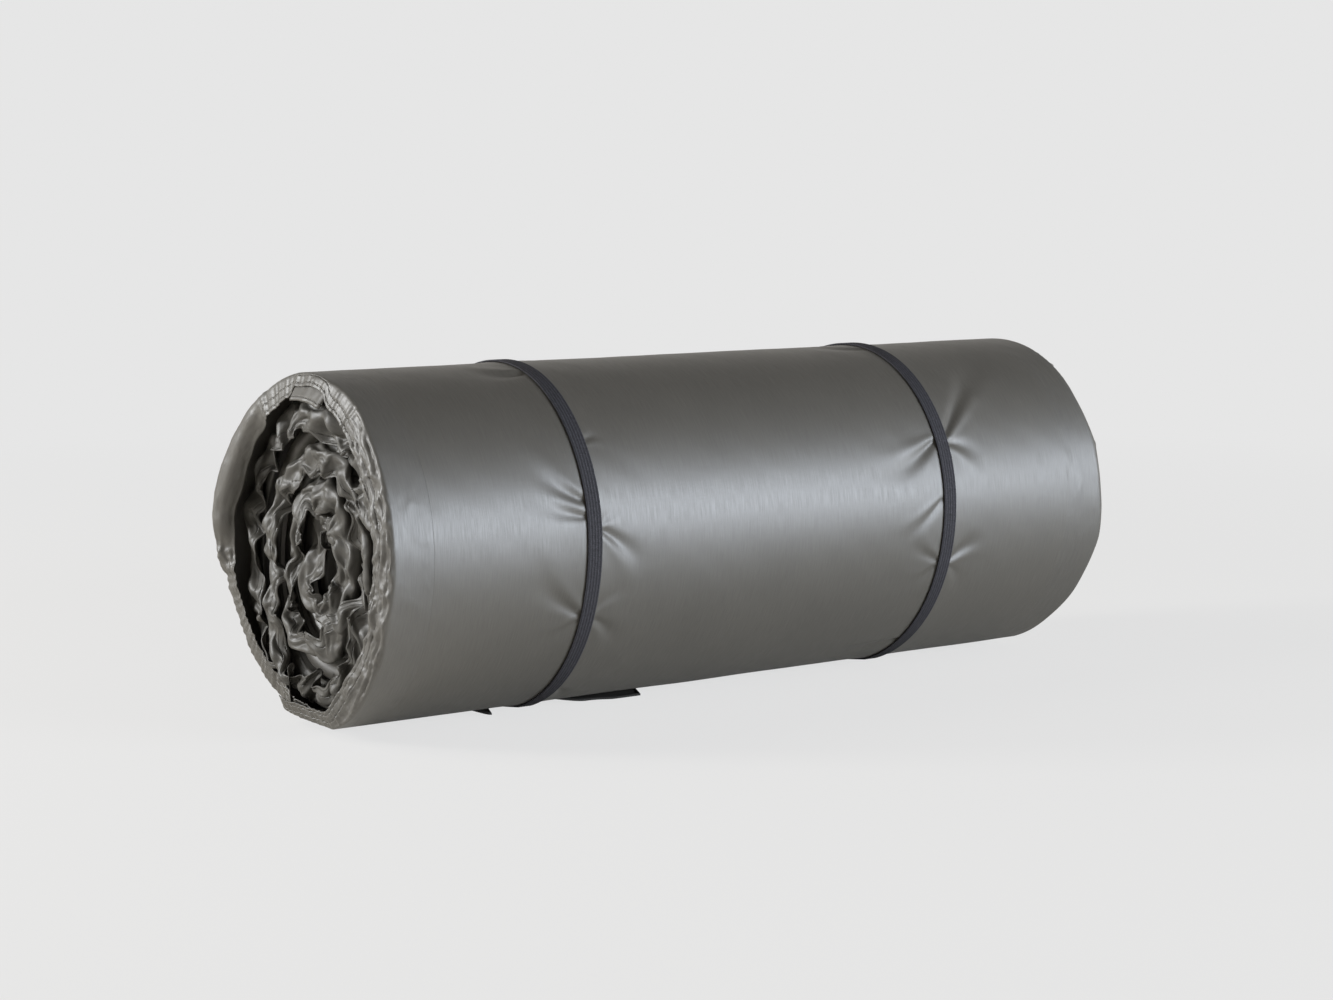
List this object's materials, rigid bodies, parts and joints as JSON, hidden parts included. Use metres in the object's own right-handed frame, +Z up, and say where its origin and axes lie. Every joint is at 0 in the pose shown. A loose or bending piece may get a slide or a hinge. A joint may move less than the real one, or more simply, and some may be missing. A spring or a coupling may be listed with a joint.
{
  "type": "rolled sleeping mat",
  "caption": "Covered foam sleeping mat rolled into a cylinder with ruffled cloth margins at its ends, held by elastic straps that slide off over the ends.",
  "frame": {"origin": "under the middle of the roll, on the surface that it rests on", "axes": "+X along the roll's axis towards the far end, the near end with the folded tab being at -X; +Z up; the outer end lies underneath"},
  "size_m": [0.5502, 0.2192, 0.2179],
  "materials": {
    "foam": "closed-cell foam, fine matt cells",
    "cover_cloth": "satin coated nylon, olive grey, fine plain weave",
    "strap_elastic": "matt woven elastic with lengthwise ribs",
    "strap_thread": "polyester sewing thread"
  },
  "bodies": {
    "mat": {"foam_core": "foam", "cover_outer_panel": "cover_cloth", "cover_inner_panel": "cover_cloth", "near_side_fin": "cover_cloth", "far_side_fin": "cover_cloth", "outer_end_hem": "cover_cloth", "inner_end_hem": "cover_cloth", "hem_tab": "cover_cloth"},
    "near_loop": {"near_strap": "strap_elastic", "near_strap_thread": "strap_thread"},
    "far_loop": {"far_strap": "strap_elastic", "far_strap_thread": "strap_thread"}
  },
  "joints": [
    {"name": "near_strap_slide", "type": "slide", "parent": "mat", "child": "near_loop", "axis": [-1, 0, 0], "range_m": [-0.12, 0.155]},
    {"name": "far_strap_slide", "type": "slide", "parent": "mat", "child": "far_loop", "axis": [1, 0, 0], "range_m": [-0.12, 0.153]}
  ]
}
